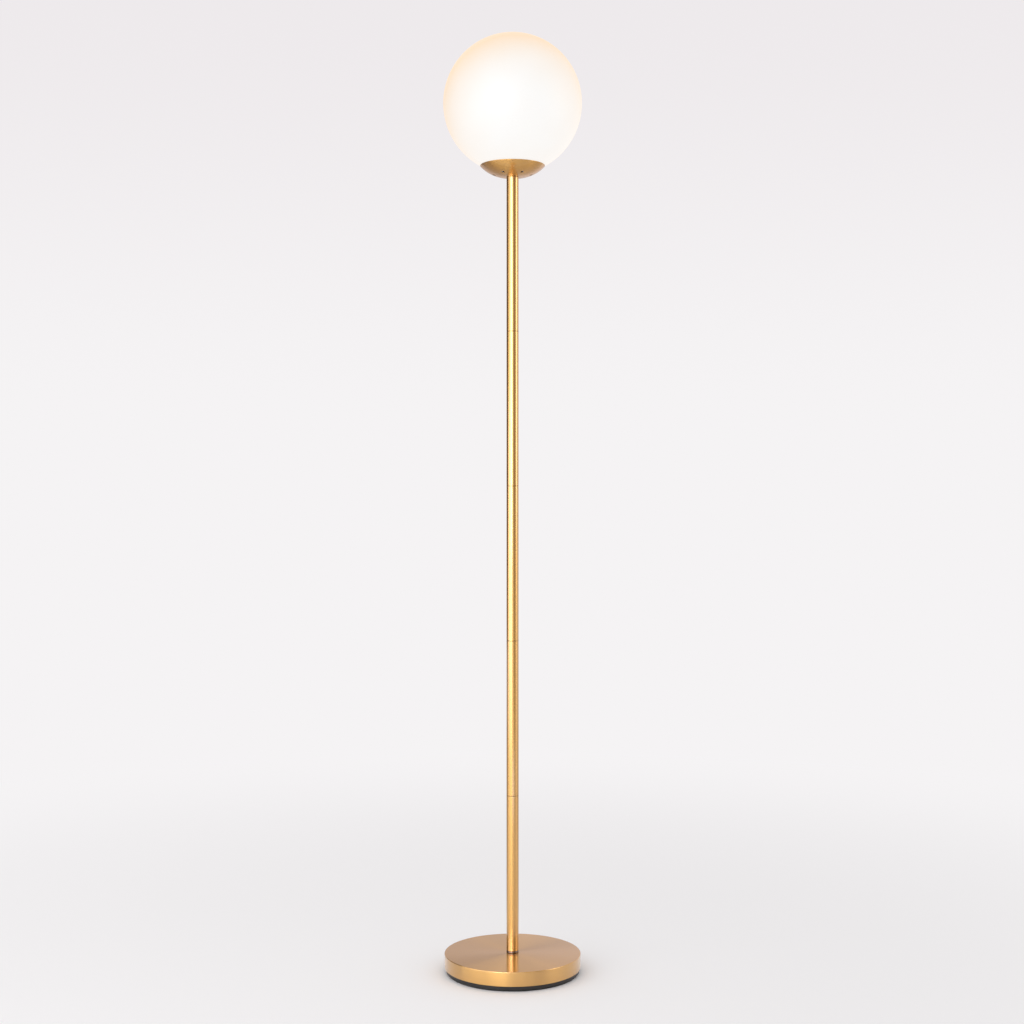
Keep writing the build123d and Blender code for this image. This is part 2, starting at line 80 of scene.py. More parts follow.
def linear(code: str, times: float = 1.0) -> Colour:
    """Turn an sRGB hex value into a linear colour.

    Args:
        code: the colour as it is seen, such as "#C89345".
        times: factor on the linear values, for a lighter or darker shade of the same hue.

    Returns:
        Red, green, blue, and an alpha of 1.
    """
    seen = [int(code[i : i + 2], 16) / 255 for i in (1, 3, 5)]
    plain = [c / 12.92 if c <= 0.04045 else ((c + 0.055) / 1.055) ** 2.4 for c in seen]
    red, green, blue = (min(1.0, c * times) for c in plain)
    return (red, green, blue, 1.0)


def add_node(
    tree: bpy.types.NodeTree, kind: str, settings: dict | str | None = None,
    *values: Value, **named: Value
) -> bpy.types.Node:
    """Add a node, set its properties, and fill or link its inputs.

    Args:
        tree: the tree that gets the node.
        kind: Blender's name for the node type.
        settings: node properties by name, or only the name of the node's operation.
        values: what goes into the inputs that these settings leave in use, in order. A number,
            colour or vector is set, and a socket, or a node's first output in use, is linked.
        named: the same by input name, with "_" for a space.

    Returns:
        The new node.
    """
    node = tree.nodes.new(kind)
    if isinstance(settings, str):
        settings = {"operation": settings}
    for name, value in (settings or {}).items():
        setattr(node, name, value)
    inputs = list(zip((socket for socket in node.inputs if socket.enabled), values))
    inputs += [(node.inputs[name.replace("_", " ")], value) for name, value in named.items()]
    for socket, value in inputs:
        if isinstance(value, bpy.types.Node):
            value = next(output for output in value.outputs if output.enabled)
        if isinstance(value, bpy.types.NodeSocket):
            tree.links.new(value, socket)
        else:
            socket.default_value = value
    return node


def new_material(name: str) -> tuple[Material, Adder]:
    """Make an empty node material.

    Args:
        name: the material's name.

    Returns:
        The material, and add_node for its tree.
    """
    material = bpy.data.materials.new(name)
    material.use_nodes = True
    material.node_tree.nodes.clear()
    return material, partial(add_node, material.node_tree)


def arc(centre: Point, radius: float, start: float, end: float, steps: int) -> list[Point]:
    """List the points of an arc in a lathe profile.

    Args:
        centre: radius and height of the arc's centre.
        radius: the arc's radius.
        start: first angle in degrees, where 0 points outwards and 90 up.
        end: last angle in degrees.
        steps: number of chords.

    Returns:
        The points from start to end, both included.
    """
    turns = [math.radians(start + (end - start) * i / steps) for i in range(steps + 1)]
    return [(centre[0] + radius * math.cos(t), centre[1] + radius * math.sin(t)) for t in turns]


def ring_profile(
    bore: float, radius: float, bottom: float, top: float, edge: float, steps: int = 4
) -> list[Point]:
    """Give the profile of a washer or ring with rounded outer edges.

    Args:
        bore: inner radius.
        radius: outer radius.
        bottom: lower height.
        top: upper height.
        edge: radius of the two outer edges.
        steps: chords in each edge.

    Returns:
        The closed profile.
    """
    profile = [(bore, bottom)]
    profile += arc((radius - edge, bottom + edge), edge, -90, 0, steps)
    profile += arc((radius - edge, top - edge), edge, 0, 90, steps)
    return profile + [(bore, top)]


def sleeve_profile(
    bore: float, radius: float, bottom: float, top: float, edge: float, inner_edge: float = 0.0
) -> list[Point]:
    """Give the profile of a sleeve with chamfered ends.

    Args:
        bore: inner radius.
        radius: outer radius.
        bottom: lower height.
        top: upper height.
        edge: width of the two outer chamfers.
        inner_edge: width of the two inner chamfers, or 0 for none.

    Returns:
        The closed profile.
    """
    profile = [(bore + inner_edge, bottom), (radius - edge, bottom), (radius, bottom + edge),
               (radius, top - edge), (radius - edge, top), (bore + inner_edge, top)]
    if inner_edge:
        profile += [(bore, top - inner_edge), (bore, bottom + inner_edge)]
    return profile


def mesh_piece(name: str, mesh: bpy.types.Mesh, material: Material) -> Piece:
    """Link a mesh to the scene as a piece with one material, smooth with its sharp edges kept.

    Args:
        name: the piece's name.
        mesh: its mesh, in place.
        material: its finish.

    Returns:
        The new object.
    """
    mesh.name = name
    for polygon in mesh.polygons:
        polygon.use_smooth = True
    mesh.set_sharp_from_angle(angle=SMOOTH_ANGLE)
    mesh.materials.clear()
    mesh.materials.append(material)
    piece = bpy.data.objects.new(name, mesh)
    bpy.context.scene.collection.objects.link(piece)
    return piece


def flat_piece(name: str, corners: list[tuple[float, float, float]], material: Material) -> Piece:
    """Make a flat sheet of the studio from its four corners.

    Args:
        name: the sheet's name.
        corners: its corners, in order.
        material: its finish.

    Returns:
        The new object.
    """
    mesh = bpy.data.meshes.new(name)
    mesh.from_pydata(corners, [], [(0, 1, 2, 3)])
    return mesh_piece(name, mesh, material)


def form_piece(name: str, form: bmesh.types.BMesh, material: Material) -> Piece:
    """Make a piece from a bmesh and free the bmesh.

    Args:
        name: the piece's name.
        form: its shape, in place.
        material: its finish.

    Returns:
        The new object.
    """
    mesh = bpy.data.meshes.new(name)
    form.to_mesh(mesh)
    form.free()
    return mesh_piece(name, mesh, material)


def skin_rings(form: bmesh.types.BMesh, rings: list[list[bmesh.types.BMVert]]) -> None:
    """Join closed rings of vertices in order, and the last to the first.

    Args:
        form: the bmesh that holds them.
        rings: rings of equal length, along a profile that runs counter-clockwise.
    """
    for ring, upper in zip(rings, rings[1:] + rings[:1]):
        for i in range(len(ring)):
            j = (i + 1) % len(ring)
            corners = tuple(dict.fromkeys((ring[i], ring[j], upper[j], upper[i])))
            if len(corners) > 2:
                form.faces.new(corners)


def lathe(name: str, profile: list[Point], material: Material, segments: int = 96) -> Piece:
    """Turn a closed profile round the Z axis.

    Args:
        name: the piece's name.
        profile: radius and height of each corner, counter-clockwise with the radius to the right.
        material: its finish.
        segments: number of steps round the axis.

    Returns:
        The turned piece.
    """
    form = bmesh.new()
    turns = [math.tau * i / segments for i in range(segments)]
    rings = []
    for radius, height in profile:
        if radius < MERGE_DISTANCE:
            rings.append([form.verts.new((0, 0, height))] * segments)
        else:
            rings.append([form.verts.new((radius * math.cos(turn), radius * math.sin(turn), height))
                          for turn in turns])
    skin_rings(form, rings)
    return form_piece(name, form, material)


def node_copy(name: str, node: str, material: Material, edge: float) -> Piece:
    """Copy a CAD node's shape, weld its triangles and round its sharp edges.

    Args:
        name: the piece's name.
        node: the CAD node.
        material: its finish.
        edge: width of the rounding, or 0 for none.

    Returns:
        The new piece, where the node is.
    """
    form = bmesh.new()
    form.from_mesh(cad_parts[node].data)
    bmesh.ops.remove_doubles(form, verts=form.verts, dist=MERGE_DISTANCE)
    if edge:
        bmesh.ops.dissolve_limit(form, angle_limit=FLAT_ANGLE, verts=form.verts, edges=form.edges)
        sharp = [e for e in form.edges if e.is_manifold and e.calc_face_angle() > SMOOTH_ANGLE]
        bmesh.ops.bevel(form, geom=sharp, offset=edge, segments=2, profile=0.5, affect="EDGES",
                        clamp_overlap=True)
    return form_piece(name, form, material)


def place(piece: Piece, body: str, slot: str, *nodes: str) -> None:
    """Fix a finished piece in the frame.

    Args:
        piece: the piece, in place.
        body: the body that it rides on.
        slot: the record's material slot; not used.
        nodes: CAD nodes that it stands for.
    """
    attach(piece, body)
    if nodes:
        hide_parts(*nodes)
    log.info("%s rides on %s in %s", piece.name, body, piece.data.materials[0].name)


# ==== geometry nodes ====


def node_tree(
    name: str, sizes: dict[str, str]
) -> tuple[bpy.types.NodeTree, Adder, bpy.types.NodeOutputs]:
    """Start a Geometry Nodes tree with named inputs.

    Args:
        name: the tree's name.
        sizes: input names with "Float", "Int" or "Material".

    Returns:
        The tree, add_node for it, and its inputs' sockets by name.
    """
    tree = bpy.data.node_groups.new(name, "GeometryNodeTree")
    tree.interface.new_socket("Shape", in_out="OUTPUT", socket_type="NodeSocketGeometry")
    for label, kind in sizes.items():
        tree.interface.new_socket(label, in_out="INPUT", socket_type=f"NodeSocket{kind}")
    add = partial(add_node, tree)
    return tree, add, add("NodeGroupInput").outputs


def end_tree(add: Adder, shape: bpy.types.Node, finish: bpy.types.NodeSocket) -> None:
    """End a Geometry Nodes tree with one real mesh in the piece's finish.

    Args:
        add: add_node for the tree.
        shape: the node that makes the shape.
        finish: the tree's Finish input.
    """
    real = add("GeometryNodeRealizeInstances", Geometry=shape)
    add("NodeGroupOutput", Shape=add("GeometryNodeSetMaterial", Geometry=real, Material=finish))


def grow(name: str, tree: bpy.types.NodeTree, sizes: dict[str, float], material: Material) -> Piece:
    """Run a Geometry Nodes tree and keep its result as a plain mesh piece.

    Args:
        name: the piece's name.
        tree: the tree.
        sizes: values by input name.
        material: the piece's finish, for the tree's Finish input.

    Returns:
        The new piece, with no modifier.
    """
    seed = bpy.data.meshes.new(f"{name}_seed")
    holder = bpy.data.objects.new(f"{name}_seed", seed)
    bpy.context.scene.collection.objects.link(holder)
    modifier = holder.modifiers.new("shape", "NODES")
    modifier.node_group = tree
    for item in tree.interface.items_tree:
        if item.in_out == "INPUT":
            modifier[item.identifier] = material if item.name == "Finish" else sizes[item.name]
    bpy.context.view_layer.update()
    shape = holder.evaluated_get(bpy.context.evaluated_depsgraph_get())
    mesh = bpy.data.meshes.new_from_object(shape)
    bpy.data.objects.remove(holder)
    bpy.data.meshes.remove(seed)
    return mesh_piece(name, mesh, material)


@cache
def thread_tree() -> bpy.types.NodeTree:
    """Build the tree of a threaded sleeve.

    A grid is wrapped round the axis: its rows climb the outside, cross the top, come down the
    inside and close at the bottom, and a rolled wave that turns with the height cuts the thread.

    Returns:
        The tree, with the sleeve's sizes as named inputs.
    """
    lengths = ("Outer Radius", "Inner Radius", "Outer Depth", "Inner Depth", "Pitch", "Bottom",
               "Length", "Plain Top")
    tree, add, size = node_tree("threaded_sleeve", dict.fromkeys(lengths, "Float")
                                | {"Segments": "Int", "Rows": "Int", "Finish": "Material"})
    share = {"operation": "DIVIDE", "use_clamp": True}
    # The grid, one column for each step round the axis and one row for each step along the walls.
    columns = add(MATH, "ADD", size["Segments"], 1.0)
    last_row = add(MATH, "MULTIPLY_ADD", size["Rows"], 2.0, 2.0)
    grid = add("GeometryNodeMeshGrid", Size_X=1.0, Size_Y=1.0, Vertices_X=columns,
               Vertices_Y=add(MATH, "ADD", last_row, 1.0))
    at = add("ShaderNodeSeparateXYZ", None, add("GeometryNodeInputPosition")).outputs
    turn = add(MATH, "ADD", at["X"], 0.5)
    row = add(MATH, "ROUND", add(MATH, "MULTIPLY", add(MATH, "ADD", at["Y"], 0.5), last_row))
    # The height that a row stands at, and whether it is on the inner wall.
    back = add(MATH, "SUBTRACT", add(MATH, "SUBTRACT", last_row, 1.0), row)
    rise = add(MATH, share, add(MATH, "MINIMUM", row, back), size["Rows"])
    up = add(MATH, "MULTIPLY", rise, size["Length"])
    height = add(MATH, "ADD", up, size["Bottom"])
    middle = add(MATH, "MULTIPLY_ADD", size["Rows"], 1.5, 1.0)
    off_middle = add(MATH, "ABSOLUTE", add(MATH, "SUBTRACT", row, middle))
    inside = add(MATH, "LESS_THAN", off_middle, add(MATH, "MULTIPLY_ADD", size["Rows"], 0.5, 0.5))
    # The thread's wave, which runs out within 0.6 of its pitch at each end.
    phase = add(MATH, "SUBTRACT", add(MATH, "DIVIDE", height, size["Pitch"]), turn)
    wave = add(MATH, "COSINE", add(MATH, "MULTIPLY", phase, math.tau))
    run_out = add(MATH, "MULTIPLY", size["Pitch"], 0.6)
    below = add(MATH, share, up, run_out)
    threaded = add(MATH, "SUBTRACT", size["Length"], size["Plain Top"])
    above = add(MATH, share, add(MATH, "SUBTRACT", threaded, up), run_out)
    cut = add(MATH, "MULTIPLY", add(MATH, "MULTIPLY_ADD", wave, 0.5, -0.5), below)
    cut = add(MATH, "MULTIPLY", cut, above)
    outer = add(MATH, "MULTIPLY_ADD", cut, size["Outer Depth"], size["Outer Radius"])
    inner = add(MATH, "MULTIPLY_ADD", cut, size["Inner Depth"], size["Inner Radius"])
    radius = add(MIX, {"data_type": "FLOAT"}, inside, outer, inner)
    # The wrap, closed where the first and last columns meet.
    angle = add(MATH, "MULTIPLY", turn, math.tau)
    spot = add("ShaderNodeCombineXYZ", X=add(MATH, "MULTIPLY", radius, add(MATH, "COSINE", angle)),
               Y=add(MATH, "MULTIPLY", radius, add(MATH, "SINE", angle)), Z=height)
    wrapped = add("GeometryNodeSetPosition", Geometry=grid, Position=spot)
    closed = add("GeometryNodeMergeByDistance", Geometry=wrapped, Distance=MERGE_DISTANCE)
    end_tree(add, closed, size["Finish"])
    return tree


def chip_tree() -> bpy.types.NodeTree:
    """Build the tree of the light chips, set in a ring on the plate and turned towards its middle.

    Returns:
        The tree, with the ring's and the chip's sizes as named inputs.
    """
    tree, add, size = node_tree("chip_ring", {
        "Ring Radius": "Float", "Count": "Int", "Chip Width": "Float", "Chip Length": "Float",
        "Chip Height": "Float", "Bottom": "Float", "Finish": "Material"})
    ring = add("GeometryNodeMeshCircle", Vertices=size["Count"], Radius=size["Ring Radius"])
    extent = add("ShaderNodeCombineXYZ", X=size["Chip Length"], Y=size["Chip Width"],
                 Z=size["Chip Height"])
    chip = add("GeometryNodeMeshCube", Size=extent)
    angle = add(MATH, "MULTIPLY", add("GeometryNodeInputIndex"), math.tau)
    facing = add("ShaderNodeCombineXYZ", Z=add(MATH, "DIVIDE", angle, size["Count"]))
    chips = add("GeometryNodeInstanceOnPoints", Points=ring, Instance=chip, Rotation=facing)
    lift = add(MATH, "MULTIPLY_ADD", size["Chip Height"], 0.5, size["Bottom"])
    raised = add("GeometryNodeTransform", Geometry=chips,
                 Translation=add("ShaderNodeCombineXYZ", Z=lift))
    end_tree(add, raised, size["Finish"])
    return tree


# ==== finishes ====


class Grain(Enum):
    """Which way the fine marks of a metal run."""

    TURNED = "rings round the lamp's axis"
    EVEN = "no direction"


@dataclass(frozen=True)
class Metal:
    """A bare, plated or lacquered metal with the marks that its making left."""

    name: str
    colour: str
    roughness: float
    grain: Grain
    mark_spacing: float  # metres between marks
    mark_slope: float  # how steep a mark's side is
    tone: float = 0.04  # how much marks change the colour, and twice that the gloss
    anisotropy: float = 0.0
    lacquer: float = 0.0
    lacquer_roughness: float = 0.1
    lacquer_ior: float = 1.5
    mark_length: float = 60 * MM
    # The joint_ fields paint shade as a dark line at each joint, for the shaded gap there.
    joint_bottom: float = 0.0
    joint_spacing: float = 0.0  # 0 for no dark lines
    joint_reach: float = 0.0  # how far from a joint its dark line runs
    joint_core: float = 0.6  # share of that which is fully dark
    joint_shade_tone: float = 0.25  # factor on the colour there
    # The dull_ fields roughen faces below a height that don't face down, and paint shade on them.
    dull_and_shaded_below: float = 0.0  # height under which the inside is left dull, or 0 for none
    dull_blend: float = 0.1 * MM
    inside_shade_colour: str = "#6A4C2C"
    dull_roughness: float = 0.3  # how much rougher the inside is
    dull_facing: Span = (-0.15, -0.05)  # upward part of a normal where the inside begins

    @cache
    def make(self) -> Material:
        """Build the material, once.

        Returns:
            The node material.
        """
        material, add = new_material(self.name)
        spot = add("ShaderNodeTexCoord").outputs["Object"]
        x, y, z = add("ShaderNodeSeparateXYZ", None, spot).outputs
        scale = 1 / self.mark_spacing
        if self.grain is Grain.TURNED:
            out = add(MATH, "SQRT", add(MATH, "ADD", add(MATH, "MULTIPLY", x, x),
                                        add(MATH, "MULTIPLY", y, y)))
            across = add(MATH, "MULTIPLY", add(MATH, "ADD", out, z),
                         self.mark_length / self.mark_spacing)
            spot = add("ShaderNodeCombineXYZ", X=x, Y=y, Z=across)
            scale = 1 / self.mark_length
        marks = add("ShaderNodeTexNoise", Vector=spot, Scale=scale, Detail=2.0, Roughness=0.55)
        bump = add("ShaderNodeBump", Height=marks, Strength=1.0,
                   Distance=self.mark_slope * self.mark_spacing)
        shade = add(MIX, COLOURS, add(MAP_RANGE, None, marks, NOISE_LOW, NOISE_HIGH),
                    linear(self.colour, 1 - self.tone), linear(self.colour, 1 + self.tone))
        # Painted shade: a dark line at each tube joint, for the shaded gap between the tubes.
        if self.joint_spacing:
            away = add(MATH, "PINGPONG", add(MATH, "SUBTRACT", z, self.joint_bottom),
                       self.joint_spacing / 2)
            line = add(MAP_RANGE, None, away, self.joint_reach * self.joint_core, self.joint_reach)
            shade = add(MIX, COLOURS, line, linear(self.colour, self.joint_shade_tone), shade)
        gloss = add(MAP_RANGE, None, marks, NOISE_LOW, NOISE_HIGH,
                    self.roughness * (1 - 2 * self.tone), self.roughness * (1 + 2 * self.tone))
        # Painted shade: below the set height, faces that don't face down turn dark brown and
        # rougher.
        if self.dull_and_shaded_below:
            normal = add("ShaderNodeTexCoord").outputs["Normal"]
            upward = add(MAP_RANGE, None, add("ShaderNodeSeparateXYZ", None, normal).outputs["Z"],
                         *self.dull_facing)
            low = add(MAP_RANGE, None, z, self.dull_and_shaded_below, self.dull_and_shaded_below - self.dull_blend)
            inside = add(MATH, "MULTIPLY", upward, low)
            shade = add(MIX, COLOURS, inside, shade, linear(self.inside_shade_colour))
            gloss = add(MATH, "MULTIPLY_ADD", inside, self.dull_roughness, gloss)
        brushed = {}
        if self.anisotropy:
            round_axis = add("ShaderNodeTangent", {"direction_type": "RADIAL", "axis": "Z"})
            brushed = {"Tangent": round_axis, "Anisotropic_Rotation": 0.25}
        shader = add("ShaderNodeBsdfPrincipled", Base_Color=shade, Metallic=1.0, Roughness=gloss,
                     Normal=bump, Anisotropic=self.anisotropy, Coat_Weight=self.lacquer,
                     Coat_Roughness=self.lacquer_roughness, Coat_IOR=self.lacquer_ior, **brushed)
        add("ShaderNodeOutputMaterial", Surface=shader)
        return material


@dataclass(frozen=True)
class Moulding:
    """A moulded plastic, rubber, foam or card with its skin texture."""

    name: str
    colour: str
    roughness: float
    grit: float  # metres across a grain of the skin
    slope: float  # how steep a grain's side is
    tone: float = 0.06  # how much the grains change the colour
    gloss_change: float = 0.1  # and the roughness
    glow: float = 0.0

    @cache
    def make(self) -> Material:
        """Build the material, once.

        Returns:
            The node material.
        """
        material, add = new_material(self.name)
        spot = add("ShaderNodeTexCoord").outputs["Object"]
        grain = add("ShaderNodeTexNoise", Vector=spot, Scale=1 / self.grit, Detail=2.0)
        bump = add("ShaderNodeBump", Height=grain, Strength=1.0, Distance=self.slope * self.grit)
        shade = add(MIX, COLOURS, grain, linear(self.colour, 1 - self.tone),
                    linear(self.colour, 1 + self.tone))
        gloss = add(MAP_RANGE, None, grain, NOISE_LOW, NOISE_HIGH,
                    self.roughness * (1 - self.gloss_change),
                    self.roughness * (1 + self.gloss_change))
        shader = add("ShaderNodeBsdfPrincipled", Base_Color=shade, IOR=1.5, Roughness=gloss,
                     Normal=bump, Emission_Color=linear(self.colour), Emission_Strength=self.glow)
        add("ShaderNodeOutputMaterial", Surface=shader)
        return material


@dataclass(frozen=True)
class OpalGlass:
    """Opal glass with the bulb's light painted on as a glow: white near it, peach far and edge-on.

    The distances from the bulb are in radii of the globe.
    """

    name: str
    glass: str
    near: str
    far: str
    roughness: float
    # glow is the painted glow's strength; the warm_ and edge_ fields set where it turns peach.
    glow: float
    bulb: tuple[float, float, float]
    radius: float
    warm_from: float = 1.04  # distance where the glass starts to turn peach
    warm_to: float = 1.32  # and where it stops
    warmth: float = 0.60  # share of peach there
    edge_from: float = 0.75  # distance where the edge's own peach starts to grow
    edge_to: float = 1.15  # and where it is full
    edge_least: float = 0.2  # share of it that is left near the bulb
    cloud: float = 0.12  # soft uneven share of peach
    cloud_size: float = 45 * MM
    ripple_size: float = 18 * MM
    ripple_depth: float = 0.02 * MM

    def make(self) -> Material:
        """Build the material.

        Returns:
            The node material.
        """
        material, add = new_material(self.name)
        spot = add("ShaderNodeTexCoord").outputs["Object"]
        # Painted light: white near the bulb, peach farther off and towards the edges seen edge-on.
        gap = add("ShaderNodeVectorMath", "DISTANCE", spot, self.bulb)
        distance = add(MAP_RANGE, SMOOTHLY, gap, self.radius * self.warm_from,
                       self.radius * self.warm_to, 0.0, self.warmth)
        reach = add(MAP_RANGE, SMOOTHLY, gap, self.radius * self.edge_from,
                    self.radius * self.edge_to, self.edge_least, 1.0)
        facing = add("ShaderNodeLayerWeight", Blend=0.5).outputs["Facing"]
        edge = add(MATH, "MULTIPLY", facing, reach)
        streaks = add("ShaderNodeTexNoise", Vector=spot, Scale=1 / self.cloud_size, Detail=1.0)
        cloud = add(MATH, "MULTIPLY_ADD", streaks, self.cloud, -self.cloud / 2)
        warm = add(MATH, {"operation": "ADD", "use_clamp": True},
                   add(MATH, "ADD", distance, edge), cloud)
        colour = add(MIX, COLOURS, warm, linear(self.near), linear(self.far))
        ripple = add("ShaderNodeTexNoise", Vector=spot, Scale=1 / self.ripple_size, Detail=1.0)
        bump = add("ShaderNodeBump", Height=ripple, Strength=1.0, Distance=self.ripple_depth)
        shader = add("ShaderNodeBsdfPrincipled", Base_Color=linear(self.glass), IOR=1.5,
                     Roughness=self.roughness, Specular_IOR_Level=0.3, Normal=bump,
                     Emission_Color=colour, Emission_Strength=self.glow)
        add("ShaderNodeOutputMaterial", Surface=shader)
        return material


# Real brush marks, tool marks and moulded grains are about 0.1 mm apart, too fine to show in a
# picture of the whole lamp. They are drawn as coarse as they need to show, mostly 1 to 2 mm apart.

# The painted shade inside the cup stops this far below the top of its rim.
CUP_RIM = 1.3 * MM  # height of the cup's rim, which is polished inside too
FIRST_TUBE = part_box("pole_tube_1")

# Spun brass, finely brushed round its axis and lacquered: reflections stretch lengthwise, and
# the lacquer adds a pale sheen where it is seen at a low angle.
SPUN_BRASS =Metal("spun_satin_brass", "#D5A256", roughness=0.29, grain=Grain.TURNED,
                   mark_spacing=1.2 * MM, mark_slope=0.0004, tone=0.015, anisotropy=0.97,
                   lacquer=1.0, lacquer_roughness=0.12, lacquer_ior=1.8)
# The cup's thinner lacquer shines less. Below its rim the inside and the vent holes are rougher,
# and painted dark brown: painted shade that keeps the vents dark.
CUP_BRASS = replace(SPUN_BRASS, name="spun_cup_brass", lacquer_ior=1.5,
                    dull_and_shaded_below=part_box("cup")[1].z - CUP_RIM)
# Drawn tube, sanded round and lacquered: a little smoother than the spun parts, with painted
# shade as a dark line in the groove of each joint, where the gap between the tubes is in shade.
TUBE_BRASS = Metal("sanded_brass_tube", "#D5A256", roughness=0.26, grain=Grain.TURNED,
                   mark_spacing=1.6 * MM, mark_slope=0.0001, tone=0.006, anisotropy=0.95,
                   lacquer=1.0, lacquer_roughness=0.12, lacquer_ior=1.7,
                   joint_bottom=FIRST_TUBE[0].z, joint_reach=0.5 * MM,
                   joint_spacing=FIRST_TUBE[1].z - FIRST_TUBE[0].z)
# Polished brass, painted dark brown as shade for the corner at the foot; it takes one white glint.
PAINTED_SHADE_RING = Metal("polished_brass_painted_shade", "#5E3A1A", roughness=0.05, grain=Grain.EVEN,
                  mark_spacing=2.0 * MM, mark_slope=0.0, tone=0.01,
                  lacquer=1.0, lacquer_roughness=0.02, lacquer_ior=2.0)
# Machined brass, bare: bright, with fine rings from the tool.
TURNED_BRASS = Metal("machined_brass", "#D9B163", roughness=0.24, grain=Grain.TURNED,
                     mark_spacing=0.6 * MM, mark_slope=0.02)
# Bright zinc plate on steel: bluish, softly clouded.
ZINC_STEEL = Metal("zinc_plated_steel", "#B9BDBE", roughness=0.30, grain=Grain.EVEN,
                   mark_spacing=1.5 * MM, mark_slope=0.02)
# Tempered strip: grey with a brown cast and fine rolling marks.
SPRING_STEEL = Metal("tempered_spring_steel", "#8A8680", roughness=0.28, grain=Grain.EVEN,
                     mark_spacing=1.2 * MM, mark_slope=0.008, tone=0.05)
# Sand-cast iron, painted black: coarse, dull grain.
CAST_IRON = Metal("painted_cast_iron", "#2E2E30", roughness=0.60, grain=Grain.EVEN,
                  mark_spacing=2.5 * MM, mark_slope=0.10, tone=0.10)
# Nickel plate on a rolled shell: smooth and slightly warm.
NICKEL = Metal("nickel_plated_brass", "#C8C4BB", roughness=0.16, grain=Grain.TURNED,
               mark_spacing=0.8 * MM, mark_slope=0.008)
# Aluminium circuit board with white solder mask: pale and satin.
BOARD = Metal("aluminium_circuit_board", "#DCDCD8", roughness=0.45, grain=Grain.EVEN,
              mark_spacing=1.0 * MM, mark_slope=0.01)
# Injection-moulded ABS with a fine spark-eroded skin: nearly black and satin.
BLACK_ABS = Moulding("moulded_black_abs", "#1F1D1C", roughness=0.38, grit=0.8 * MM, slope=0.02,
                     tone=0.10)
# Closed-cell foam: dull, with open pores on the cut face.
FOAM = Moulding("closed_cell_foam", "#161616", roughness=0.90, grit=1.0 * MM, slope=0.15,
                tone=0.20)
# Silicone: pale, slightly waxy.
SILICONE = Moulding("pale_silicone", "#D6D3CB", roughness=0.40, grit=1.5 * MM, slope=0.01)
# Pressed phenolic resin: hard, nearly black, glossy.
PHENOLIC = Moulding("pressed_phenolic", "#1A1614", roughness=0.24, grit=1.2 * MM, slope=0.01,
                    tone=0.10)
# Pressed fibre card: brown, dull, with visible fibres.
FIBRE_CARD = Moulding("pressed_fibre_card", "#9A7B55", roughness=0.85, grit=1.2 * MM, slope=0.06,
                      tone=0.12)
# Polycarbonate housing: white, smooth moulding.
WHITE_CASE = Moulding("white_polycarbonate", "#E9E8E3", roughness=0.34, grit=1.0 * MM,
                      slope=0.008, tone=0.02)
# Diffusing polycarbonate, lit by the chips behind it: an even, warm white.
LIT_DOME = Moulding("diffusing_polycarbonate", "#F3EBDD", roughness=0.30, grit=1.0 * MM,
                    slope=0.004, tone=0.02, glow=0.55)
# Phosphor of the light chips: yellow and lit.
PHOSPHOR = Moulding("chip_phosphor", "#F2C84B", roughness=0.45, grit=0.4 * MM, slope=0.02,
                    glow=0.9)
# Blown opal glass, satin outside, with the bulb's light painted on as a glow: white round the
# bulb, peach away from it. Its middle is the foot of the bulb's dome, a little right and in front.
OPAL_GLASS = OpalGlass("opal_glass_painted_glow", glass="#6E6C6A", near="#FFFFFE", far="#FFDFB9",
                       roughness=0.50, glow=0.80, radius=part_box("globe")[1].x,
                       bulb=(8 * MM, -6 * MM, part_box("bulb_dome")[0].z))


# ==== fasteners ====


@dataclass(frozen=True)
class Thread:
    """A screw thread round the lamp's axis."""

    pitch: float
    outer_depth: float
    inner_depth: float
    segments: int

    def sleeve(
        self, name: str, node: str, finish: Metal, bore: float, rows: int, plain_top: float = 0.0
    ) -> Piece:
        """Thread a sleeve over its length.

        Args:
            name: the piece's name.
            node: its CAD node.
            finish: its metal.
            bore: inner radius.
            rows: number of steps along the sleeve.
            plain_top: length at the top that stays plain.

        Returns:
            The threaded piece.
        """
        low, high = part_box(node)
        return grow(name, thread_tree(), {
            "Outer Radius": high.x, "Inner Radius": bore, "Outer Depth": self.outer_depth,
            "Inner Depth": self.inner_depth, "Pitch": self.pitch, "Bottom": low.z,
            "Length": high.z - low.z, "Plain Top": plain_top, "Segments": self.segments,
            "Rows": rows}, finish.make())


# The hollow rods' cut thread, and the bulb's and lampholder's rolled one, which shows inside too.
ROD_THREAD = Thread(pitch=1.0 * MM, outer_depth=0.6 * MM, inner_depth=0.0, segments=40)
CAP_THREAD = Thread(pitch=3.63 * MM, outer_depth=0.85 * MM, inner_depth=0.85 * MM, segments=72)
CAP_THREAD_ROWS = 56


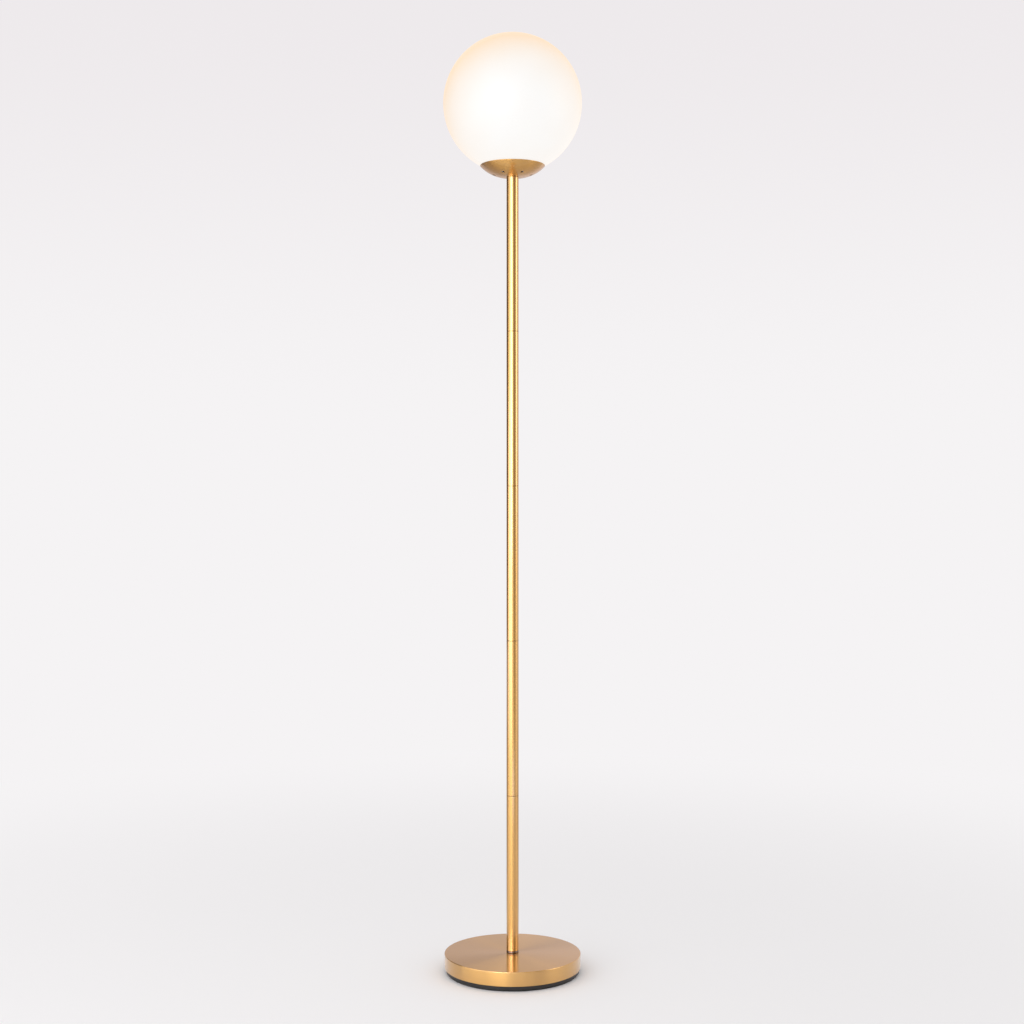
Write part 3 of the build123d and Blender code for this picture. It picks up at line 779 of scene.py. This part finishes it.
@dataclass(frozen=True)
class Fasteners:
    """Nuts, washers and threaded rods, sized from their CAD nodes."""

    rod_bore: float = 3.5 * MM
    nut_bore: float = 5.03 * MM
    washer_bore: float = 5.25 * MM
    rows_per_turn: int = 6
    chamfer_angle: float = math.radians(30)
    chamfer_start: float = 0.96  # share of the nut's width over flats
    nut_segments: int = 72

    def rod(self, node: str) -> None:
        """Thread a hollow rod over its whole length.

        Args:
            node: its CAD node.
        """
        low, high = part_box(node)
        rows = round((high.z - low.z) / ROD_THREAD.pitch * self.rows_per_turn)
        rod = ROD_THREAD.sleeve(f"threaded_{node}", node, ZINC_STEEL, self.rod_bore, rows)
        place(rod, "stand", "zinc_steel", node)

    def nut(self, node: str) -> None:
        """Make a hexagon nut whose faces end in the arcs that its turned chamfers leave.

        Args:
            node: its CAD node.
        """
        low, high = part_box(node)
        flat = high.y
        start = flat * self.chamfer_start
        form = bmesh.new()
        rings: list[list[bmesh.types.BMVert]] = [[] for _ in range(6)]
        for i in range(self.nut_segments):
            turn = math.tau * i / self.nut_segments
            wide = flat / math.cos((turn % (math.pi / 3)) - math.pi / 6)
            drop = (wide - start) * math.tan(self.chamfer_angle)
            corners = [(self.nut_bore, low.z), (start, low.z), (wide, low.z + drop),
                       (wide, high.z - drop), (start, high.z), (self.nut_bore, high.z)]
            x, y = math.cos(turn), math.sin(turn)
            for ring, (radius, height) in zip(rings, corners):
                ring.append(form.verts.new((radius * x, radius * y, height)))
        skin_rings(form, rings)
        piece = form_piece(f"chamfered_{node}", form, ZINC_STEEL.make())
        place(piece, "stand", "zinc_steel", node)

    def washer(self, node: str, edge: float) -> None:
        """Make a flat washer with rounded edges.

        Args:
            node: its CAD node.
            edge: radius of its edges.
        """
        low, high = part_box(node)
        profile = ring_profile(self.washer_bore, high.y, low.z, high.z, edge)
        place(lathe(f"flat_{node}", profile, ZINC_STEEL.make()), "stand", "zinc_steel", node)


def carry_over(body: str, *rows: tuple[str, str, str, Metal | Moulding, float]) -> None:
    """Copy CAD nodes whose shape is right, with their edges rounded and a finish of their own.

    Args:
        body: the body that they ride on.
        rows: for each, the piece's name, its node, its slot, its finish and its edges' width.
    """
    for name, node, slot, finish, edge in rows:
        place(node_copy(name, node, finish.make(), edge), body, slot, node)


# ==== sub-assemblies ====


@dataclass
class Base:
    """Brass cover on a black casing, with the weight, pad, cord bush and bolt inside and under."""

    bore: float = 5.25 * MM
    cover_wall: float = 1.2 * MM
    cover_edge: float = 1.3 * MM
    hem_width: float = 2.4 * MM
    hem_height: float = 2.2 * MM
    hem_edge: float = 0.4 * MM
    collar_edge: float = 1.1 * MM
    pad_bore: float = 30 * MM
    pad_edge: float = 0.3 * MM
    bush_edge: float = 0.3 * MM
    weight_edge: float = 0.8 * MM
    lock_washer_edge: float = 0.2 * MM
    washer_edge: float = 0.5 * MM
    segments: int = 256

    def build(self) -> None:
        """Make and place the pieces."""
        cover = lathe("brass_cover", self.cover_profile(), SPUN_BRASS.make(), self.segments)
        place(cover, "stand", "satin_brass", "base_cover")
        low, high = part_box("foot_ring")
        profile = ring_profile(self.bore, high.x, low.z, high.z, self.collar_edge, 8)
        # The collar's dark brown is painted shade for the corner at the pole's foot.
        collar = lathe("foot_collar", profile, PAINTED_SHADE_RING.make(), self.segments)
        place(collar, "stand", "polished_brass", "foot_ring")
        low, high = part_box("base_pad")
        profile = ring_profile(self.pad_bore, high.x, low.z, high.z, self.pad_edge)
        pad = lathe("foam_foot_pad", profile, FOAM.make(), self.segments)
        place(pad, "stand", "foam_pad", "base_pad")
        carry_over("stand",
                   ("casing_tray", "base_casing", "black_casing", BLACK_ABS, 0.0),
                   ("cord_bush", "cord_gland", "black_casing", BLACK_ABS, self.bush_edge),
                   ("iron_disc", "base_weight", "cast_iron", CAST_IRON, self.weight_edge),
                   ("split_washer", "base_lock_washer", "zinc_steel", ZINC_STEEL,
                    self.lock_washer_edge))
        bolt = Fasteners()
        bolt.washer("base_washer", self.washer_edge)
        bolt.nut("base_nut")
        bolt.rod("base_rod")

    def cover_profile(self) -> list[Point]:
        """Give the cover's section, with its rounded top edge and turned-in hem.

        Returns:
            The closed profile.
        """
        low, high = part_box("base_cover")
        under, hem_top = high.z - self.cover_wall, low.z + self.hem_height
        wall, hem = high.x - self.cover_wall, high.x - self.hem_width
        profile = [(self.bore, under), (wall, under), (wall, hem_top), (hem, hem_top), (hem, low.z)]
        profile += arc((high.x - self.hem_edge, low.z + self.hem_edge), self.hem_edge, -90, 0, 6)
        profile += arc((high.x - self.cover_edge, high.z - self.cover_edge), self.cover_edge,
                       0, 90, 10)
        return profile + [(self.bore, high.z)]


@dataclass
class Pole:
    """Five tubes with chamfered ends, a bush in each end, and a rod in each joint."""

    tube_wall: float = 1.0 * MM
    tube_edge: float = 0.35 * MM
    bush_bore: float = 5.03 * MM
    bush_edge: float = 0.6 * MM
    tube_segments: int = 128

    def build(self) -> None:
        """Make and place the pieces."""
        for node in sorted(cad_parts):
            low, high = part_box(node)
            if node.startswith("pole_tube"):
                profile = sleeve_profile(high.x - self.tube_wall, high.x, low.z, high.z,
                                         self.tube_edge)
                tube = lathe(node.replace("pole", "brass"), profile, TUBE_BRASS.make(),
                             self.tube_segments)
                place(tube, "stand", "satin_brass", node)
            elif node.startswith("pole_bush"):
                profile = sleeve_profile(self.bush_bore, high.x, low.z, high.z, self.bush_edge,
                                         self.bush_edge)
                bush = lathe(node.replace("pole", "threaded"), profile, TURNED_BRASS.make())
                place(bush, "stand", "turned_brass", node)
            elif node.startswith("joint_rod"):
                Fasteners().rod(node)


@dataclass
class Head:
    """The cup, the spring and soft ring that hold the glass, and the nut that clamps them."""

    spring_edge: float = 0.2 * MM
    washer_edge: float = 0.3 * MM
    ring_segments: int = 160
    ring_steps: int = 24  # sides of the soft ring's round section

    def build(self) -> None:
        """Make and place the pieces."""
        carry_over("stand",
                   ("spun_cup", "cup", "satin_brass", CUP_BRASS, 0.0),
                   ("leaf_spring", "globe_spring", "spring_steel", SPRING_STEEL, self.spring_edge))
        low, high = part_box("seat_ring")
        section = (high.z - low.z) / 2
        profile = arc((high.y - section, (low.z + high.z) / 2), section,
                      0, 360 - 360 / self.ring_steps, self.ring_steps - 1)
        seat = lathe("soft_seat", profile, SILICONE.make(), self.ring_segments)
        place(seat, "stand", "clear_rubber", "seat_ring")
        clamp = Fasteners()
        clamp.washer("head_washer", self.washer_edge)
        clamp.nut("head_nut")
        clamp.rod("head_rod")


@dataclass
class GlobeShade:
    """The opal glass ball, with a fire-polished mouth."""

    wall: float = 3.0 * MM
    mouth_edge: float = 1.1 * MM
    mouth_radius: float = 40.0 * MM
    segments: int = 192
    arc_steps: int = 120
    inner_edge_steps: int = 5
    outer_edge_steps: int = 7

    def build(self) -> None:
        """Make and place the globe."""
        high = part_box("globe")[1]
        outer = high.x
        inner, centre = outer - self.wall, high.z - outer
        lip = self.mouth_radius + self.mouth_edge
        outer_hub = centre - math.sqrt((outer - self.mouth_edge) ** 2 - lip**2)
        inner_hub = centre - math.sqrt((inner + self.mouth_edge) ** 2 - lip**2)
        outer_start = math.degrees(math.atan2(outer_hub - centre, lip))
        inner_start = math.degrees(math.atan2(inner_hub - centre, lip))
        profile = arc((0, centre), outer, outer_start, 90, self.arc_steps)
        profile += arc((0, centre), inner, 90, inner_start, self.arc_steps)
        profile += arc((lip, inner_hub), self.mouth_edge, inner_start + 180, 180,
                       self.inner_edge_steps)[1:]
        profile += arc((lip, outer_hub), self.mouth_edge, 180, outer_start + 360,
                       self.outer_edge_steps)[:-1]
        globe = lathe("opal_globe", profile, OPAL_GLASS.make(), self.segments)
        place(globe, "globe", "opal_glass", "globe")


@dataclass
class Lampholder:
    """Phenolic cap and block, screw shell with a rolled thread, contact, liner and sleeve."""

    edge: float = 0.3 * MM
    contact_edge: float = 0.1 * MM
    shell_wall: float = 0.5 * MM
    sleeve_wall: float = 1.0 * MM
    sleeve_lip: float = 1.0 * MM
    edge_steps: int = 6

    def build(self) -> None:
        """Make and place the pieces."""
        carry_over("stand",
                   ("phenolic_cap", "holder_cap", "black_phenolic", PHENOLIC, self.edge),
                   ("phenolic_block", "holder_block", "black_phenolic", PHENOLIC, self.edge),
                   ("wire_screws", "terminal_screws", "zinc_steel", ZINC_STEEL, self.edge),
                   ("spring_contact", "centre_contact", "turned_brass", TURNED_BRASS,
                    self.contact_edge),
                   ("card_liner", "holder_liner", "liner_card", FIBRE_CARD, 0.0))
        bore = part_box("screw_shell")[1].x - self.shell_wall
        shell = CAP_THREAD.sleeve("rolled_shell", "screw_shell", TURNED_BRASS, bore,
                                  CAP_THREAD_ROWS)
        place(shell, "stand", "turned_brass", "screw_shell")
        low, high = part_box("holder_sleeve")
        radius, wall, top = high.y, self.sleeve_wall, high.z
        lip = radius - wall - self.sleeve_lip
        profile = [(radius - wall, low.z), (radius, low.z)]
        profile += arc((radius - wall, top - wall), wall, 0, 90, self.edge_steps)
        profile += arc((lip + wall / 2, top - wall / 2), wall / 2, 90, 270, self.edge_steps)
        profile += [(radius - wall, top - wall)]
        sleeve = lathe("plated_sleeve", profile, NICKEL.make())
        place(sleeve, "stand", "nickel_shell", "holder_sleeve")


@dataclass
class Bulb:
    """The bulb: tip, black insulator, rolled cap, white housing, chip plate and lit dome."""

    cap_wall: float = 0.4 * MM
    cap_skirt: float = 4.0 * MM
    plug_radius: float = 11.7 * MM
    plug_taper: float = 1.5 * MM
    plug_drop: float = 0.3 * MM
    chip_count: int = 12
    chip_ring: float = 15.0 * MM
    chip_width: float = 2.8 * MM
    chip_length: float = 3.5 * MM
    chip_height: float = 0.7 * MM

    def build(self) -> None:
        """Make and place the pieces."""
        carry_over("bulb",
                   ("solder_tip", "bulb_tip", "turned_brass", TURNED_BRASS, 0.0),
                   ("moulded_housing", "bulb_housing", "white_housing", WHITE_CASE, 0.0),
                   ("chip_plate", "led_plate", "led_board", BOARD, 0.0),
                   ("lit_dome", "bulb_dome", "opal_dome", LIT_DOME, 0.0))
        low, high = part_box("bulb_insulator")
        cap_low, cap_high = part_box("bulb_cap")
        profile = [(0, low.z), (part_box("bulb_tip")[1].x, low.z),
                   (self.plug_radius - self.plug_taper, cap_low.z - self.plug_drop),
                   (self.plug_radius, cap_low.z), (self.plug_radius, high.z), (0, high.z)]
        plug = lathe("black_insulator", profile, PHENOLIC.make())
        place(plug, "bulb", "black_phenolic", "bulb_insulator")
        cap = CAP_THREAD.sleeve("rolled_cap", "bulb_cap", NICKEL, cap_high.x - self.cap_wall,
                                CAP_THREAD_ROWS, self.cap_skirt)
        place(cap, "bulb", "nickel_shell", "bulb_cap")
        chips = grow("light_chips", chip_tree(), {
            "Ring Radius": self.chip_ring, "Count": self.chip_count,
            "Chip Width": self.chip_width, "Chip Length": self.chip_length,
            "Chip Height": self.chip_height, "Bottom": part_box("led_plate")[1].z}, PHOSPHOR.make())
        place(chips, "bulb", "led_board")


# ==== studio ====


class Reach(Enum):
    """What a lamp lights."""

    EVERYTHING = "light and reflections"
    REFLECTIONS = "reflections only"


@dataclass
class Softbox:
    """One rectangular lamp aimed at the object, seen in reflections but not by the camera."""

    name: str
    azimuth: float  # degrees to the right of the camera, round the object
    distance: float
    height: float
    width: float
    tall: float
    brightness: float  # seen in a mirror, where 1 is white
    reach: Reach = Reach.REFLECTIONS
    tint: str = "#ECF1FF"  # a little cool, which keeps the brass's highlights cream

    def build(self) -> None:
        """Make the lamp."""
        light = bpy.data.lights.new(self.name, "AREA")
        light.shape = "RECTANGLE"
        light.size, light.size_y = self.width, self.tall
        light.energy = self.brightness * math.pi * self.width * self.tall
        light.color = linear(self.tint)[:3]
        box = bpy.data.objects.new(self.name, light)
        bpy.context.scene.collection.objects.link(box)
        turn, away = math.radians(self.azimuth), self.distance
        box.location = (away * math.sin(turn), -away * math.cos(turn), self.height)
        box.rotation_euler = (math.radians(90), 0, turn)
        box.visible_camera = False
        box.visible_diffuse = self.reach is Reach.EVERYTHING


@dataclass
class DarkCard:
    """One dark card that only reflections see, to give round metal its dark edges."""

    name: str
    azimuth: float
    distance: float
    bottom: float
    width: float
    tall: float
    left: str  # tones of its two sides, as the lamp faces it
    right: str
    blend: float = 0.1  # metres from its middle to where a side's tone is reached
    lean: float = 90  # degrees from the floor

    def build(self) -> None:
        """Make the card."""
        turn, rise = math.radians(self.azimuth), math.radians(self.lean)
        out = Vector((math.sin(turn), -math.cos(turn), 0))
        middle = out * self.distance + Vector((0, 0, self.bottom))
        side = Vector((math.cos(turn), math.sin(turn), 0)) * self.width / 2
        up = (out * math.cos(rise) + Vector((0, 0, math.sin(rise)))) * self.tall
        material, add = new_material(f"{self.name}_cloth")
        spot = add("ShaderNodeTexCoord").outputs["Object"]
        across = add("ShaderNodeVectorMath", "DOT_PRODUCT", spot, side.normalized())
        share = add(MAP_RANGE, SMOOTHLY, across, -self.blend, self.blend)
        tone = add(MIX, COLOURS, share, linear(self.right), linear(self.left))
        shown = add("ShaderNodeEmission", Color=tone, Strength=1.0)
        add("ShaderNodeOutputMaterial", Surface=shown)
        corners = [middle - side, middle + side, middle + side + up, middle - side + up]
        card = flat_piece(self.name, corners, material)
        for ray in ("camera", "diffuse", "transmission", "volume_scatter", "shadow"):
            setattr(card, f"visible_{ray}", False)


@dataclass
class Studio:
    """Pale floor and surroundings, soft light, and the camera at the photograph's angle."""

    backdrop: str = "#F5F3F4"
    backdrop_top: str = "#EEEAEC"
    backdrop_rise: Span = (0.04, 0.30)  # upward part of a view ray, where the tones change
    floor: str = "#F4F2F3"
    floor_half: float = 40.0
    floor_fade: Span = (0.4, 2.2)  # metres from the lamp
    fill: float = 0.87
    frame_pixels: float = 1024.0
    focal_pixels: float = 1601.0
    pole_pixels: float = 0.6  # how far right of the frame's middle the pole stands
    horizon_row: float = 488.0  # row of the image that the lens axis meets
    distance: float = 2.6324
    height: float = 0.7843
    tilt: float = 0.207  # degrees upwards
    sensor: float = 36.0

    def build(self) -> None:
        """Make the surroundings, the lights and the camera."""
        self.world()
        self.ground()
        for item in (
            Softbox("key_softbox", azimuth=-42, distance=2.3, height=1.30, width=2.6, tall=2.2,
                    brightness=0.9, reach=Reach.EVERYTHING, tint="#FFFFFF"),
            Softbox("low_panel", azimuth=-50, distance=2.28, height=0.55, width=4.0, tall=1.1,
                    brightness=1.70),
            Softbox("low_strip", azimuth=12, distance=1.2, height=0.08, width=0.95, tall=0.14,
                    brightness=1.82),
            Softbox("key_panel", azimuth=-20, distance=2.29, height=1.50, width=1.9, tall=1.8,
                    brightness=1.94),
            Softbox("key_core", azimuth=-19.5, distance=2.29, height=1.50, width=1.1, tall=1.8,
                    brightness=2.42),
            Softbox("side_strip", azimuth=80, distance=2.1, height=1.50, width=0.9, tall=1.6,
                    brightness=2.2, tint="#FFFFFF"),
            DarkCard("right_card", azimuth=38, distance=2.4, bottom=0.004, width=1.6, tall=2.65,
                     left="#A79D90", right="#A79D90"),
            DarkCard("left_card", azimuth=-120, distance=2.4, bottom=0.30, width=2.6, tall=2.4,
                     left="#6F675F", right="#6F675F"),
            DarkCard("back_card", azimuth=180, distance=3.0, bottom=0.0, width=3.4, tall=2.4,
                     left="#CBBEB8", right="#DFD2CD", blend=0.4),
            DarkCard("floor_card", azimuth=180, distance=0.3, bottom=0.004, width=5.0, tall=2.6,
                     left="#BDB4AE", right="#D0C8C2", blend=0.4, lean=0),
        ):
            item.build()
        self.camera()

    def world(self) -> None:
        """Show the pale backdrop to the camera, metal and glass, and give the rest a soft fill."""
        world = bpy.data.worlds.new("studio")
        bpy.context.scene.world = world
        world.use_nodes = True
        world.node_tree.nodes.clear()
        add = partial(add_node, world.node_tree)
        path = add("ShaderNodeLightPath").outputs
        seen = add(MATH, {"operation": "ADD", "use_clamp": True},
                   add(MATH, "ADD", path["Is Camera Ray"], path["Is Glossy Ray"]),
                   path["Is Transmission Ray"])
        ray = add("ShaderNodeTexCoord").outputs["Generated"]
        rise = add("ShaderNodeSeparateXYZ", None, ray).outputs["Z"]
        wall = add(MIX, COLOURS, add(MAP_RANGE, SMOOTHLY, rise, *self.backdrop_rise),
                   linear(self.backdrop), linear(self.backdrop_top))
        shown = add("ShaderNodeBackground", Color=wall, Strength=1.0)
        soft = add("ShaderNodeBackground", Color=linear("#FFFFFF"), Strength=self.fill)
        add("ShaderNodeOutputWorld", Surface=add("ShaderNodeMixShader", None, seen, soft, shown))

    def ground(self) -> None:
        """Lay a floor that fades into the backdrop away from the lamp."""
        material, add = new_material("pale_floor")
        spot = add("ShaderNodeTexCoord").outputs["Object"]
        away = add("ShaderNodeVectorMath", "LENGTH", spot)
        fade = add(MAP_RANGE, SMOOTHLY, away, *self.floor_fade)
        lit = add("ShaderNodeBsdfDiffuse", Color=linear(self.floor))
        shown = add("ShaderNodeEmission", Color=linear(self.backdrop), Strength=1.0)
        mixed = add("ShaderNodeMixShader", None, fade, lit, shown)
        add("ShaderNodeOutputMaterial", Surface=mixed)
        half = self.floor_half
        corners = [(-half, -half, 0), (half, -half, 0), (half, half, 0), (-half, half, 0)]
        flat_piece("floor", corners, material)

    def camera(self) -> None:
        """Put the camera at the photograph's viewpoint."""
        data = bpy.data.cameras.new("camera")
        data.sensor_width = self.sensor
        data.lens = self.sensor * self.focal_pixels / self.frame_pixels
        data.shift_y = (self.horizon_row - self.frame_pixels / 2) / self.frame_pixels
        camera = bpy.data.objects.new("camera", data)
        bpy.context.scene.collection.objects.link(camera)
        aside = self.pole_pixels * self.distance / self.focal_pixels
        camera.location = (-aside, -self.distance, self.height)
        camera.rotation_euler = (math.radians(90 + self.tilt), 0, 0)
        bpy.context.scene.camera = camera


def main() -> None:
    """Build the lamp's pieces in order, then the studio and the camera."""
    logging.basicConfig(level=logging.INFO, format="%(name)s: %(message)s")
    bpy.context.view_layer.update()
    for assembly in (Base(), Pole(), Head(), GlobeShade(), Lampholder(), Bulb(), Studio()):
        assembly.build()
    bpy.context.scene.view_settings.view_transform = "Standard"


if __name__ == "__main__":
    main()
